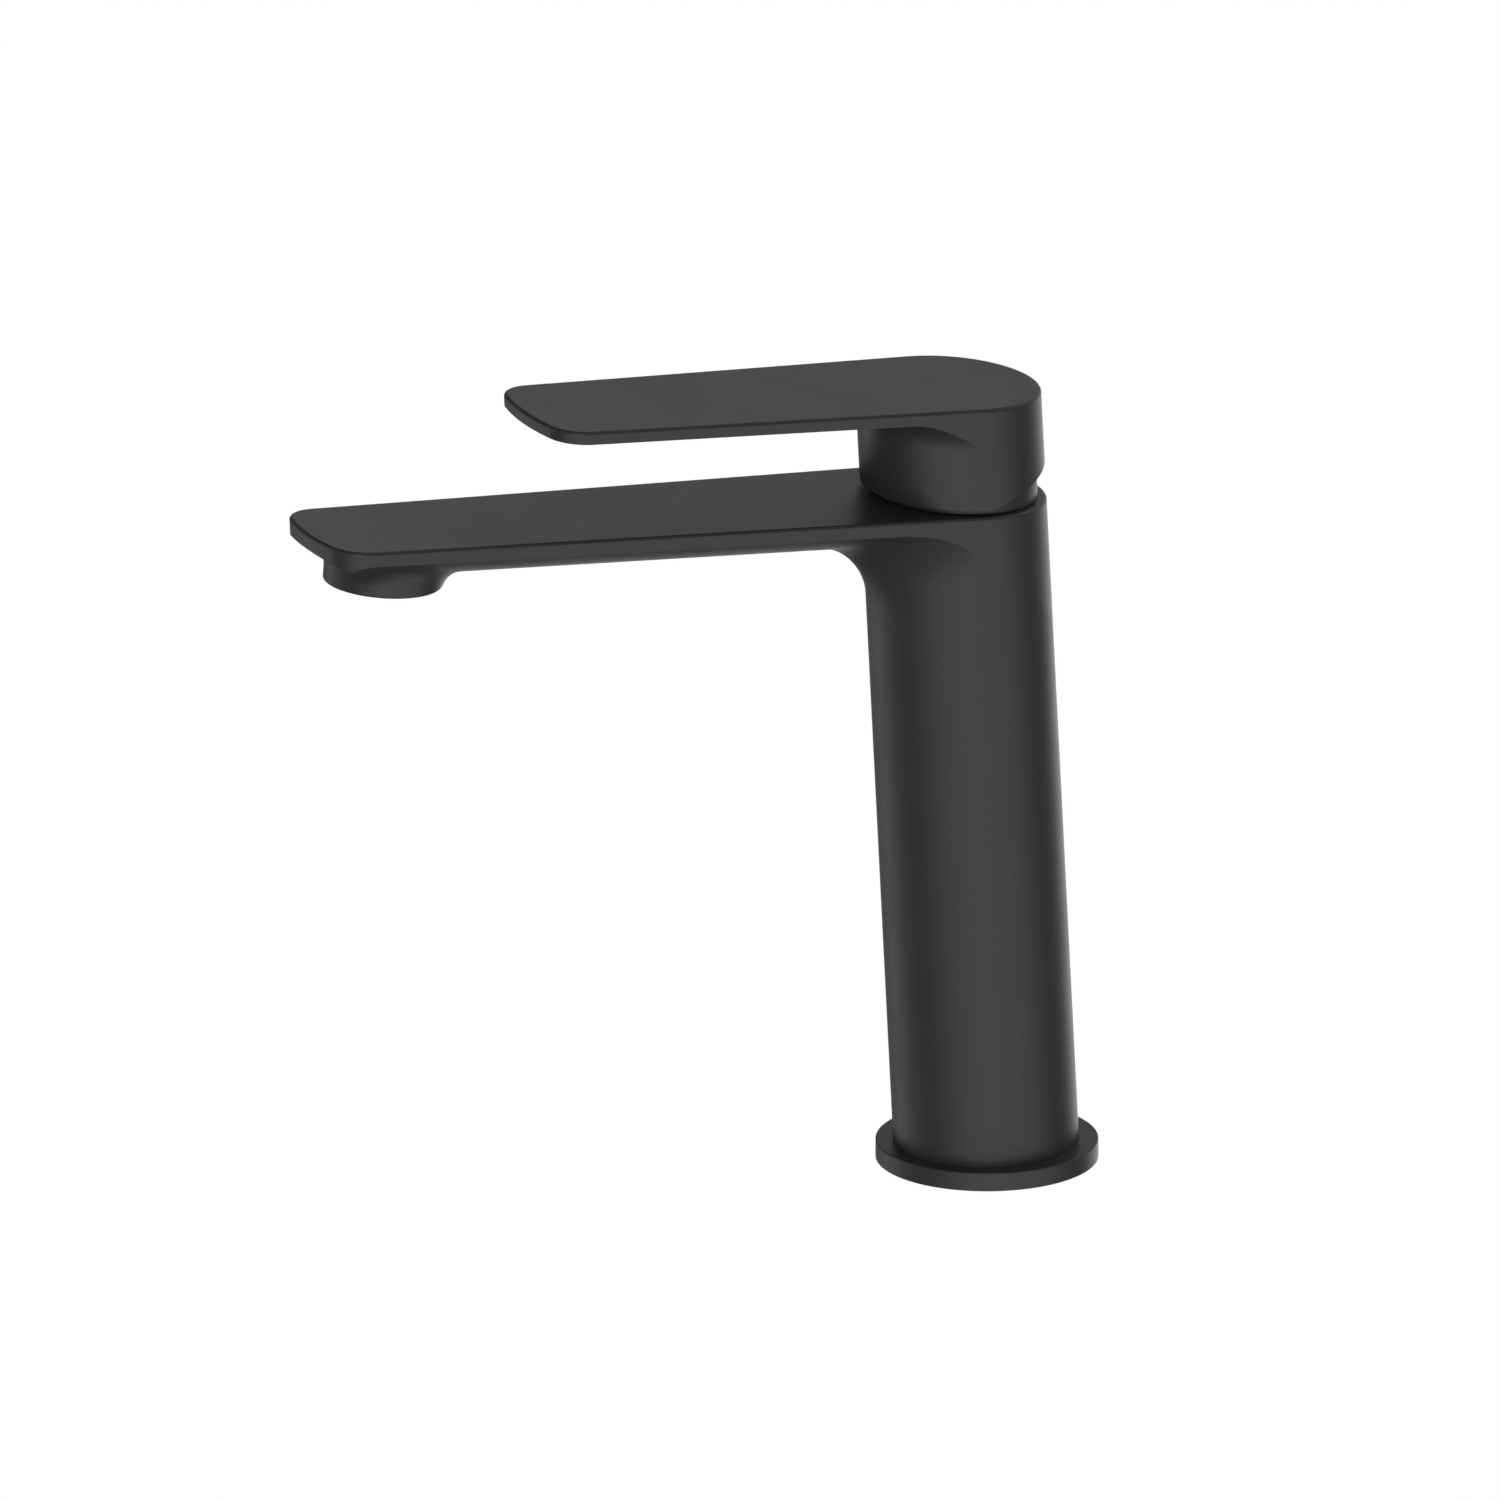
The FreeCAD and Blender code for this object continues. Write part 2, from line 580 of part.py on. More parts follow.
def make_body():
    body = new_body("body")
    ahead, behind = f"(spout_length + {PASS})", f"(-column_radius - {PASS})"
    stations = [across_spout(body, f"belly_{where}", at, half_width(at), depth_at(at))
                for where, at in (("back", behind), ("front", ahead))]
    doc.recompute()
    loft = body.newObject("PartDesign::AdditiveLoft", "belly")
    loft.Profile = stations[0]
    loft.Sections = [stations[1]]
    column = new_sketch(body, "column", base=("0", "0", "0"), turn="column_lean")
    circle(column, "column_radius")
    pad(body, column, "column_length")

    def crease(point):
        on_skin = abs(from_column(point) - value("column_radius")) < NEAR
        return on_skin and -value("column_length / 2") < above_top(point) < 0
    fillet(body, "spout_blend", crease)

    lid = on_top(body, "top_cut")
    box_outline(lid, f"-{ROOMY}", ROOMY, f"-(spout_length + {ROOMY})", ROOMY)
    pocket(body, lid, ROOMY, flip=True)
    plan = square_to_column(body, "spout_plan", ROOMY)
    trim_to_plan(body, plan, "spout_length", "spout_taper", "spout_corner", "spout_bow", f"2 * {ROOMY}")
    nose = new_sketch(body, "nose", "YZ_Plane", base=(PIVOT[0], PIVOT[1], "0"), turn="-top_rise")
    tip_end, nose_end = f"-spout_length - {PASS}", "outlet_radius - outlet_reach"
    polygon(nose, [
        (tip_end, f"{PASS} * tan(nose_slope) - nose_depth"), (tip_end, f"-{ROOMY}"), (nose_end, f"-{ROOMY}"),
        (nose_end, "-nose_depth - (outlet_inset + outlet_radius) * tan(nose_slope)")])
    pocket(body, nose, ROOMY, both=True)

    # outlet boss, flared into the belly and cut off at its rim
    boss = on_top(body, "outlet_boss", f"outlet_depth + {PASS}", "outlet_reach")
    circle(boss, "outlet_radius")
    pad(body, boss, f"outlet_depth + {PASS} - duct_top")
    outlet_axis = pivot_point() + value("outlet_reach") * FreeCAD.Vector(
        0, -math.cos(math.radians(value("top_rise"))), math.sin(math.radians(value("top_rise"))))

    def from_outlet(point):
        offset = point - outlet_axis
        height = above_top(point)
        return math.sqrt(max(offset.dot(offset) - height * height, 0))

    def boss_root(point):
        return (abs(from_outlet(point) - value("outlet_radius")) < NEAR
                and above_top(point) > -value("outlet_depth"))
    fillet(body, "outlet_blend", boss_root)
    rim = on_top(body, "outlet_rim", "outlet_depth", "outlet_reach")
    circle(rim, f"outlet_radius + {PASS}")
    pocket(body, rim, f"2 * {PASS}")

    def rim_edge(point):
        return abs(above_top(point) + value("outlet_depth")) < NEAR
    fillet(body, "rim_round", rim_edge)

    def top_edge(point):
        return abs(above_top(point)) < TOL
    fillet(body, "edge_round", top_edge)

    # foot: flat shoulder on the base ring and a spigot through it
    shoulder = new_sketch(body, "shoulder", base=("0", "0", "flange_height"))
    circle(shoulder, "2 * column_radius")
    pocket(body, shoulder, f"2 * {PASS}")
    spigot = new_sketch(body, "spigot")
    circle(spigot, "spigot_radius")
    pad(body, spigot, "flange_height")

    # seat, thread and waterways
    seat = on_top(body, "cartridge_bore")
    circle(seat, "bore_radius")
    pocket(body, seat, "bore_depth")
    thread = on_top(body, "nut_thread")
    circle(thread, "thread_radius")
    pocket(body, thread, "nut_seat + thread_runout")
    duct = new_sketch(body, "duct", "YZ_Plane", base=(PIVOT[0], PIVOT[1], "0"), turn="-top_rise")
    inlet_end, knee = "water_gap / 2 - bore_radius", "-bore_radius - knee_reach"
    polygon(duct, [(inlet_end, "-mouth_top"), (inlet_end, "-mouth_floor"), (knee, "-knee_floor"),
                   ("-duct_reach", "-duct_floor"), ("-outlet_reach", "-duct_floor"),
                   ("-outlet_reach", "-duct_top"), ("-duct_reach", "-duct_top"), (knee, "-knee_top")])
    pocket(body, duct, "duct_width", both=True)
    pool = on_top(body, "outlet_pool", "outlet_depth", "outlet_reach")
    circle(pool, "pool_radius")
    pocket(body, pool, "outlet_depth - duct_top", flip=True)
    outlet = on_top(body, "outlet_thread", "outlet_depth", "outlet_reach")
    circle(outlet, "aerator_thread")
    pocket(body, outlet, "aerator_depth", flip=True)
    for side, sign in (("hot", "-"), ("cold", "")):
        channel = new_sketch(body, f"{side}_channel", base=(
            "0", "-core_start * sin(column_lean)", "core_start * cos(column_lean)"), turn="column_lean")
        flat = "core_web / 2"
        corner = f"sqrt(core_radius^2 - ({flat})^2)"
        d_outline(channel, sign, flat, corner)
        pocket(body, channel, "column_length - core_start - core_end", flip=True)
        port = on_top(body, f"{side}_port", "bore_depth")
        circle(port, "port_radius", f"{sign}port_spread", "-port_front")
        pocket(body, port, f"seat_floor + {PASS}")
        inlet = new_sketch(body, f"{side}_inlet")
        circle(inlet, "inlet_radius", f"{sign}inlet_spacing / 2")
        pocket(body, inlet, "thread_depth", flip=True)
        feed = new_sketch(body, f"{side}_feed")
        circle(feed, "feed_radius", f"{sign}inlet_spacing / 2")
        pocket(body, feed, f"core_start + {PASS}", flip=True)
    for side, sign in (("front", "-"), ("rear", "")):
        stud = new_sketch(body, f"{side}_stud")
        circle(stud, "stud_radius", "0", f"{sign}stud_spacing / 2")
        pocket(body, stud, "thread_depth", flip=True)
    return body


def d_outline(sketch, sign, flat, corner):
    """A D-shaped channel: a flat side along the web and an arc round the column axis."""
    side = -1 if sign else 1
    x, y, radius = side * value(flat), value(corner), value("core_radius")
    reach = math.atan2(y, abs(x))
    middle = 0 if side > 0 else math.pi
    whole = Part.Circle(FreeCAD.Vector(), FreeCAD.Vector(0, 0, 1), radius)
    arc = sketch.addGeometry(Part.ArcOfCircle(whole, middle - reach, middle + reach), False)
    web = sketch.addGeometry(Part.LineSegment(FreeCAD.Vector(x, side * y, 0),
                                              FreeCAD.Vector(x, -side * y, 0)), False)
    sketch.addConstraint(Sketcher.Constraint("Coincident", arc, 2, web, 1))
    sketch.addConstraint(Sketcher.Constraint("Coincident", web, 2, arc, 1))
    sketch.addConstraint(Sketcher.Constraint("Coincident", arc, 3, -1, 1))
    sketch.addConstraint(Sketcher.Constraint("Vertical", web))
    fix(sketch, Sketcher.Constraint("Radius", arc, radius), "core_radius")
    fix(sketch, Sketcher.Constraint("DistanceX", -1, 1, web, 1, x), f"{sign}{flat}")


def make_base():
    ring = new_body("base_ring")
    turned_piece(ring, [
        ("spigot_radius + fit_gap", "0"), ("gasket_inner - fit_gap", "0"),
        ("gasket_inner - fit_gap", "gasket_height"), ("gasket_outer + fit_gap", "gasket_height"),
        ("gasket_outer + fit_gap", "0"), ("flange_radius", "0"),
        ("flange_radius", "flange_height"), ("spigot_radius + fit_gap", "flange_height")])

    def brim(point):
        return (abs(point.z - value("flange_height")) < TOL
                and abs(math.hypot(point.x, point.y) - value("flange_radius")) < TOL)
    fillet(ring, "flange_round", brim)
    gasket = new_body("base_seal")
    turned_piece(gasket, [
        ("gasket_inner", "0"), ("gasket_outer", "0"),
        ("gasket_outer", "gasket_height"), ("gasket_inner", "gasket_height")])


# ---- cartridge: heights are over the plane of the top face ----

PORTS = (("hot", "-port_spread", "-port_front"), ("cold", "port_spread", "-port_front"),
         ("mixed", "0", "port_back"))
BASE_TOP = "base_height - bore_depth"
FIXED_TOP = f"{BASE_TOP} + disc_height"
MOVING_LOW = f"{FIXED_TOP} + slide_gap"
MOVING_TOP = f"{FIXED_TOP} + disc_height"
CARRIER_TOP = "-turret_base - key_gap"


def make_housing():
    body = pivot_body("cartridge_housing")
    groove_low = "-seal_level - seal_section / 2 - groove_gap"
    groove_high = "-seal_level + seal_section / 2 + groove_gap"
    groove_root = "bore_radius - seal_section"
    flange = "bore_radius - fit_gap"
    bore = "turret_radius + fit_gap"
    turned_piece(body, [
        ("chamber_radius", BASE_TOP), ("shell_radius", BASE_TOP), ("shell_radius", "-shell_foot"),
        (flange, "-shell_foot"), (flange, groove_low), (groove_root, groove_low),
        (groove_root, groove_high), (flange, groove_high), (flange, "-nut_seat"),
        ("neck_radius", "-nut_seat"), ("neck_radius", "neck_top"), ("lip_radius", "neck_top"),
        ("lip_radius", "neck_top - lip_height"), (bore, "neck_top - lip_height"),
        (bore, "-chamber_top"), ("chamber_radius", "-chamber_top")])
    o_ring("housing_seal", "bore_radius - seal_section / 2", "seal_section", "-seal_level")


def make_cartridge_base():
    """The bottom of the cartridge: two ports from below and a side window for mixed water."""
    body = pivot_body("cartridge_base")
    disc = new_sketch(body, "base_disc", base=("0", "0", "-bore_depth"))
    circle(disc, "shell_radius")
    pad(body, disc, "base_height")
    for name, x, y in PORTS:
        port = new_sketch(body, f"base_{name}", base=("0", "0", BASE_TOP))
        circle(port, "port_radius", x, y)
        pocket(body, port, "base_height - web_height" if name == "mixed" else "base_height")
        faces = [("disc", BASE_TOP, False)]
        if name != "mixed":
            faces.append(("seat", "-bore_depth", True))
        for face, level, upward in faces:
            groove = new_sketch(body, f"{name}_{face}_groove", base=("0", "0", level))
            circle(groove, "port_radius + ring_inset + ring_width", x, y)
            circle(groove, "port_radius + ring_inset", x, y)
            pocket(body, groove, "ring_cord", flip=upward)
    window = new_sketch(body, "side_window", base=("0", "0", "web_height - bore_depth"))
    box_outline(window, "-port_radius", "port_radius", "port_back", f"shell_radius + {PASS}")
    pocket(body, window, "base_height - web_height - ring_cord - window_wall", flip=True)


def make_rings(name, level, names):
    """Flat rubber rings round the ports, level with their grooves."""
    body = pivot_body(name)
    sketch = new_sketch(body, f"{name}_rings", base=("0", "0", level))
    for port, x, y in PORTS:
        if port in names:
            circle(sketch, "port_radius + ring_inset + ring_width", x, y)
            circle(sketch, "port_radius + ring_inset", x, y)
    body.AllowCompound = True
    pad(body, sketch, "ring_cord")


def make_discs():
    fixed = pivot_body("fixed_disc")
    plate = new_sketch(fixed, "fixed_plate", base=("0", "0", BASE_TOP))
    circle(plate, "fixed_disc_radius")
    for _, x, y in PORTS:
        circle(plate, "port_radius", x, y)
    pad(fixed, plate, "disc_height")

    moving = pivot_body("moving_disc")
    plate = new_sketch(moving, "moving_plate", base=("0", "disc_offset", MOVING_LOW))
    circle(plate, "moving_disc_radius")
    pad(moving, plate, "disc_height - slide_gap")
    bowl = new_sketch(moving, "mixing_bowl", base=("0", "disc_offset", MOVING_LOW))
    circle(bowl, "port_back + port_radius - disc_offset", "0", "bowl_shift")
    pocket(moving, bowl, "disc_height / 2", flip=True)

    carrier = pivot_body("disc_carrier")
    plate = new_sketch(carrier, "carrier_plate", base=("0", "disc_offset", MOVING_TOP))
    circle(plate, "carrier_radius")
    pad(carrier, plate, f"{CARRIER_TOP} - ({MOVING_TOP})")
    socket = new_sketch(carrier, "ball_socket", base=("0", "0", CARRIER_TOP))
    circle(socket, "ball_radius + fit_gap")
    pocket(carrier, socket, f"{CARRIER_TOP} + arm_length + ball_radius + fit_gap")
    for side, sign in (("left", "-"), ("right", "")):
        groove = new_sketch(carrier, f"{side}_groove", base=("0", "0", CARRIER_TOP))
        inner, outer = "(key_spread - key_width / 2 - fit_gap)", "(key_spread + key_width / 2 + fit_gap)"
        edges = (f"-{outer}", f"-{inner}") if sign else (inner, outer)
        box_outline(groove, edges[0], edges[1], "-2 * carrier_radius", "2 * carrier_radius")
        pocket(carrier, groove, "key_height + fit_gap")


def make_turret():
    """The turret turns in the housing, drives the disc carrier with two keys and holds the pin."""
    body = pivot_body("lever_carrier")
    shoulder = "neck_top - lip_height - slip_height - slide_gap"
    turned_piece(body, [
        ("0", "-turret_base"), ("turret_radius", "-turret_base"), ("turret_radius", shoulder),
        ("turret_neck", shoulder), ("turret_neck", "turret_top"), ("0", "turret_top")])
    lug = new_sketch(body, "stop_lug", base=("0", "0", "neck_top + lug_lift"))
    sector(lug, "lip_radius - fit_gap", "lug_angle / 2")
    pad(body, lug, "turret_top - neck_top - lug_lift")
    for side, sign in (("left", "-"), ("right", "")):
        key = new_sketch(body, f"{side}_key", base=("0", "0", "-turret_base"))
        inner, outer = "(key_spread - key_width / 2)", "(key_spread + key_width / 2)"
        edges = (f"-{outer}", f"-{inner}") if sign else (inner, outer)
        box_outline(key, edges[0], edges[1], "-key_length / 2", "key_length / 2")
        pad(body, key, "key_gap + key_height", flip=True)
    window = new_sketch(body, "stem_window", "YZ_Plane")
    side = "(stem_half + stem_gap)"
    polygon(window, [("-stem_half - window_front", "-turret_base"), (side, "-turret_base"), (side, "0"),
                     ("stem_half + window_back", "turret_top"), (f"-{side}", "turret_top"),
                     (f"-{side}", "0")])
    pocket(body, window, "stem_width + 2 * fit_gap", both=True)
    hole = new_sketch(body, "pin_hole", "YZ_Plane")
    circle(hole, "pin_radius")
    pocket(body, hole, "pin_length", both=True)

    pin = pivot_body("pivot_pin")
    section = new_sketch(pin, "pin_section", "YZ_Plane")
    circle(section, "pin_radius")
    pad(pin, section, "pin_length", both=True)

    slip = pivot_body("glide_ring")
    low = "neck_top - lip_height - slip_height"
    turned_piece(slip, [
        ("lip_radius", low), ("turret_radius", low),
        ("turret_radius", "neck_top - lip_height"), ("lip_radius", "neck_top - lip_height")])


def sector(sketch, radius, half_angle):
    """A pie slice from the axis towards the spout."""
    reach, spread = value(radius), math.radians(value(half_angle))
    tips = [FreeCAD.Vector(sign * reach * math.sin(spread), -reach * math.cos(spread), 0) for sign in (-1, 1)]
    whole = Part.Circle(FreeCAD.Vector(), FreeCAD.Vector(0, 0, 1), reach)
    arc = sketch.addGeometry(Part.ArcOfCircle(whole, -math.pi / 2 - spread, -math.pi / 2 + spread), False)
    right = sketch.addGeometry(Part.LineSegment(tips[1], FreeCAD.Vector()), False)
    left = sketch.addGeometry(Part.LineSegment(FreeCAD.Vector(), tips[0]), False)
    for first, second in ((arc, right), (right, left), (left, arc)):
        sketch.addConstraint(Sketcher.Constraint("Coincident", first, 2, second, 1))
    sketch.addConstraint(Sketcher.Constraint("Coincident", arc, 3, -1, 1))
    sketch.addConstraint(Sketcher.Constraint("Coincident", right, 2, -1, 1))
    fix(sketch, Sketcher.Constraint("Radius", arc, reach), radius)
    for line, sign in ((right, 1), (left, -1)):
        end = 1 if line == right else 2
        fix(sketch, Sketcher.Constraint("DistanceX", -1, 1, line, end, sign * reach * math.sin(spread)),
            f"{sign} * ({radius}) * sin({half_angle})")


def make_stop_ring():
    body = pivot_body("stop_ring")
    turned_piece(body, [
        ("turret_neck + stop_gap", "neck_top"), ("neck_radius", "neck_top"),
        ("neck_radius", "turret_top"), ("turret_neck + stop_gap", "turret_top")])
    gate = new_sketch(body, "stop_gate", base=("0", "0", "turret_top"))
    sector(gate, "lip_radius + fit_gap", "lug_angle / 2 + stop_angle + stop_play")
    pocket(body, gate, "turret_top - neck_top")


def make_stem():
    """Lever stem: a forked-on arm with a ball below the pin and a square end above it."""
    body = pivot_body("stem")
    arm_low = "ball_radius + arm_gap - arm_length"
    arm = new_sketch(body, "stem_arm", "YZ_Plane")
    polygon(arm, [("-stem_half", arm_low), ("stem_half", arm_low),
                  ("stem_half", "stem_shoulder"), ("-stem_half", "stem_shoulder")])
    pad(body, arm, "stem_width", both=True)
    square = new_sketch(body, "stem_square_end", base=("0", "0", "stem_shoulder"))
    half = "stem_square / 2"
    box_outline(square, f"-{half}", half, f"-{half}", half)
    pad(body, square, "stem_top - stem_shoulder")
    neck = new_sketch(body, "ball_neck_section", base=("0", "0", "-arm_length"))
    circle(neck, "ball_neck")
    pad(body, neck, "ball_radius + arm_gap + neck_lap")
    ball = new_sketch(body, "ball_section", "YZ_Plane")
    half_disc(ball, "ball_radius", "-arm_length")
    turned(body, "Revolution", ball)
    hole = new_sketch(body, "stem_pin_hole", "YZ_Plane")
    circle(hole, "pin_radius + slide_gap")
    pocket(body, hole, "2 * stem_width", both=True)

    def crown(point):
        return abs(point.z - value("stem_top")) < TOL
    chamfer(body, "stem_chamfer", crown)


def half_disc(sketch, radius, level):
    """Half a circle beside the vertical axis, to be revolved into a ball."""
    reach, centre = value(radius), FreeCAD.Vector(0, value(level), 0)
    whole = Part.Circle(centre, FreeCAD.Vector(0, 0, 1), reach)
    arc = sketch.addGeometry(Part.ArcOfCircle(whole, -math.pi / 2, math.pi / 2), False)
    ends = [centre + FreeCAD.Vector(0, sign * reach, 0) for sign in (1, -1)]
    line = sketch.addGeometry(Part.LineSegment(ends[0], ends[1]), False)
    sketch.addConstraint(Sketcher.Constraint("Coincident", arc, 2, line, 1))
    sketch.addConstraint(Sketcher.Constraint("Coincident", line, 2, arc, 1))
    sketch.addConstraint(Sketcher.Constraint("PointOnObject", arc, 3, -2))
    sketch.addConstraint(Sketcher.Constraint("PointOnObject", line, 1, -2))
    sketch.addConstraint(Sketcher.Constraint("PointOnObject", line, 2, -2))
    fix(sketch, Sketcher.Constraint("Radius", arc, reach), radius)
    fix(sketch, Sketcher.Constraint("DistanceY", -1, 1, arc, 3, centre.y), level)


def make_nut():
    body = pivot_body("cartridge_nut")
    top = "nut_height - nut_seat"
    turned_piece(body, [
        ("neck_radius + fit_gap", "-nut_seat"), ("thread_radius - fit_gap", "-nut_seat"),
        ("thread_radius - fit_gap", top), ("neck_radius + fit_gap", top)])
    notch = new_sketch(body, "nut_notch", base=("0", "0", top))
    box_outline(notch, "-notch_width / 2", "notch_width / 2",
                "neck_radius - notch_reach", "neck_radius + notch_reach")
    cut = pocket(body, notch, "notch_depth")
    pattern(body, cut, 4, notch)


def make_dome():
    """The domed cap: a zone of a sphere about the pivot, with a skirt in the body's bore."""
    body = pivot_body("dome_cap")
    inner = "(dome_radius - dome_wall)"
    skirt = "thread_radius - fit_gap"
    groove_low = "-skirt_seal_level - skirt_seal / 2 - groove_gap"
    groove_high = "-skirt_seal_level + skirt_seal / 2 + groove_gap"
    groove_root = "thread_radius - skirt_seal"
    turned_piece(body, [
        ("skirt_inner", "-skirt_depth"), (skirt, "-skirt_depth"), (skirt, groove_low),
        (groove_root, groove_low), (groove_root, groove_high), (skirt, groove_high),
        (skirt, "dome_lift"), ("sqrt(dome_radius^2 - dome_lift^2)", "dome_lift"),
        ("dome_radius * sin(dome_mouth)", "dome_radius * cos(dome_mouth)"),
        (f"{inner} * sin(dome_mouth)", f"{inner} * cos(dome_mouth)"),
        ("skirt_inner", f"sqrt({inner}^2 - skirt_inner^2)")], {7: "dome_radius", 9: inner})
    o_ring("dome_seal", "thread_radius - skirt_seal / 2", "skirt_seal", "-skirt_seal_level")


# ---- lever ----

HUB_TILT = "column_lean + top_rise"


def square_to_hub(body, name, above):
    return new_sketch(body, name, base=(
        "0", f"-({above}) * sin({HUB_TILT})", f"({above}) * cos({HUB_TILT})"), turn=HUB_TILT)


def make_handle():
    body = pivot_body("handle")
    underside = "lever_height - lever_thickness"
    blade = new_sketch(body, "blade", base=("0", "0", underside))
    side = "2 * column_radius"
    box_outline(blade, f"-{side}", side, f"-lever_length - {PASS}", side)
    pad(body, blade, "lever_thickness")
    hub = new_sketch(body, "hub", turn=HUB_TILT)
    circle(hub, "column_radius")
    pad(body, hub, f"lever_height + {PASS}")
    lean = math.radians(value(HUB_TILT))

    def crease(point):
        across = point.y * math.cos(lean) + point.z * math.sin(lean)
        return (abs(math.hypot(point.x, across) - value("column_radius")) < NEAR
                and abs(point.z - value(underside)) < NEAR)
    fillet(body, "lever_blend", crease)
    lid = new_sketch(body, "lever_top", base=("0", "0", "lever_height"))
    box_outline(lid, f"-{ROOMY}", ROOMY, f"-{ROOMY}", ROOMY)
    pocket(body, lid, ROOMY, flip=True)
    relief = new_sketch(body, "hub_underside", "YZ_Plane")
    polygon(relief, [(f"-{ROOMY}", f"-{ROOMY}"), (ROOMY, f"-{ROOMY}"),
                     (ROOMY, f"hub_gap + {ROOMY} * tan(hub_relief)"), ("0", "hub_gap"),
                     (f"-{ROOMY}", "hub_gap")])
    pocket(body, relief, f"2 * {ROOMY}", both=True)
    plan = square_to_hub(body, "lever_plan", ROOMY)
    trim_to_plan(body, plan, "lever_length", "lever_taper", "lever_corner", "lever_bow", f"2 * {ROOMY}")

    def top_edge(point):
        return abs(point.z - value("lever_height")) < TOL
    fillet(body, "edge_round", top_edge)

    # spherical hollow over the dome, with a boss for the stem
    clear = "(dome_radius + swing_gap)"
    hollow = new_sketch(body, "hub_hollow", "YZ_Plane")
    polygon(hollow, [("0", "0"), (clear, "0"), ("boss_radius", f"sqrt({clear}^2 - boss_radius^2)"),
                     ("boss_radius", "boss_level"), ("0", "boss_level")], {1: clear})
    turned(body, "Groove", hollow)
    socket = new_sketch(body, "stem_socket", base=("0", "0", "0"))
    half = "(stem_square / 2 + sleeve_wall + fit_gap)"
    box_outline(socket, f"-{half}", half, f"-{half}", half)
    pocket(body, socket, "socket_top", flip=True)
    thread = new_sketch(body, "screw_thread", "XZ_Plane")
    circle(thread, "screw_radius", "0", "screw_level")
    pocket(body, thread, "2 * column_radius")
    mouth = new_sketch(body, "plug_hole", "XZ_Plane", base=("0", "0", "plug_seat - plug_start"))
    circle(mouth, "plug_radius + fit_gap / 2", "0", "screw_level")
    pocket(body, mouth, "2 * column_radius")


def make_lever_fittings():
    sleeve = pivot_body("stem_sleeve")
    outline = new_sketch(sleeve, "sleeve_outline", base=("0", "0", "sleeve_bottom"))
    inner = "(stem_square / 2 + fit_gap / 2)"
    outer = f"({inner} + sleeve_wall)"
    box_outline(outline, f"-{outer}", outer, f"-{outer}", outer)
    box_outline(outline, f"-{inner}", inner, f"-{inner}", inner)
    pad(sleeve, outline, "stem_top - sleeve_bottom")
    hole = new_sketch(sleeve, "sleeve_hole", "XZ_Plane")
    circle(hole, "screw_radius + fit_gap", "0", "screw_level")
    pocket(sleeve, hole, "2 * stem_square")

    screw = pivot_body("handle_screw")
    shank = new_sketch(screw, "screw_shank", "XZ_Plane", base=("0", "0", "-stem_square / 2"))
    circle(shank, "screw_radius - screw_gap", "0", "screw_level")
    pad(screw, shank, "screw_length", flip=True)
    key = new_sketch(screw, "screw_key", "XZ_Plane", base=("0", "0", "-stem_square / 2 - screw_length"))
    hexagon(key, "hex_size", "screw_level")
    pocket(screw, key, "hex_depth", flip=True)

    plug = pivot_body("screw_cap")
    disc = new_sketch(plug, "plug_disc", "XZ_Plane", base=("0", "0", "-plug_start"))
    circle(disc, "plug_radius", "0", "screw_level")
    pad(plug, disc, "plug_length", flip=True)

    def face_edge(point):
        return abs(point.y - value("plug_start + plug_length")) < TOL
    fillet(plug, "plug_round", face_edge)


def hexagon(sketch, flats, level):
    corner = f"({flats} / sqrt(3))"
    polygon(sketch, [(f"{corner} * cos({60 * turn})", f"{level} + {corner} * sin({60 * turn})")
                     for turn in range(6)])


# ---- aerator: heights are over the outlet's rim ----

def outlet_body(name):
    return new_body(name, OUTLET, "-top_rise")


def make_aerator():
    shell = "(aerator_thread - fit_gap)"
    inner = f"({shell} - aerator_wall)"
    shell_top = "aerator_depth - washer_height"
    screen_low = "(aerator_recess + aerator_lip)"
    screen_top = f"({screen_low} + screen_height)"
    housing = outlet_body("aerator_housing")
    turned_piece(housing, [
        (f"{inner} - aerator_lip", "aerator_recess"), (shell, "aerator_recess"), (shell, shell_top),
        (inner, shell_top), (inner, screen_low), (f"{inner} - aerator_lip", screen_low)])

    def mouth(point):
        return (abs(point.z - value("aerator_recess")) < TOL
                and abs(math.hypot(point.x, point.y) - value(f"{inner} - aerator_lip")) < NEAR)
    chamfer(housing, "mouth_chamfer", mouth)

    screen = outlet_body("aerator_screen")
    disc = new_sketch(screen, "screen_disc", base=("0", "0", screen_low))
    circle(disc, f"{inner} - fit_gap / 2")
    pad(screen, disc, "screen_height")
    centre = new_sketch(screen, "centre_jet", base=("0", "0", screen_top))
    circle(centre, "jet_radius")
    pocket(screen, centre, "screen_height")
    for ring in (1, 2, 3):
        jet = new_sketch(screen, f"jet_{ring}", base=("0", "0", screen_top))
        circle(jet, "jet_radius", f"{ring} * jet_pitch")
        pattern(screen, pocket(screen, jet, "screen_height"), 6 * ring, jet)

    core = outlet_body("aerator_core")
    disc = new_sketch(core, "core_disc", base=("0", "0", screen_top))
    circle(disc, f"{inner} - fit_gap / 2")
    pad(core, disc, f"{shell_top} - {screen_top}")
    slot = new_sketch(core, "core_slot", base=("0", "0", shell_top))
    box_outline(slot, "-slot_half", "slot_half", "slot_start", "slot_end")
    pattern(core, pocket(core, slot, f"{shell_top} - {screen_top}"), 8, slot)

    washer = outlet_body("aerator_seal")
    turned_piece(washer, [
        (f"{shell} - washer_width", shell_top), (shell, shell_top),
        (shell, "aerator_depth"), (f"{shell} - washer_width", "aerator_depth")])


# ---- build, check and write ----

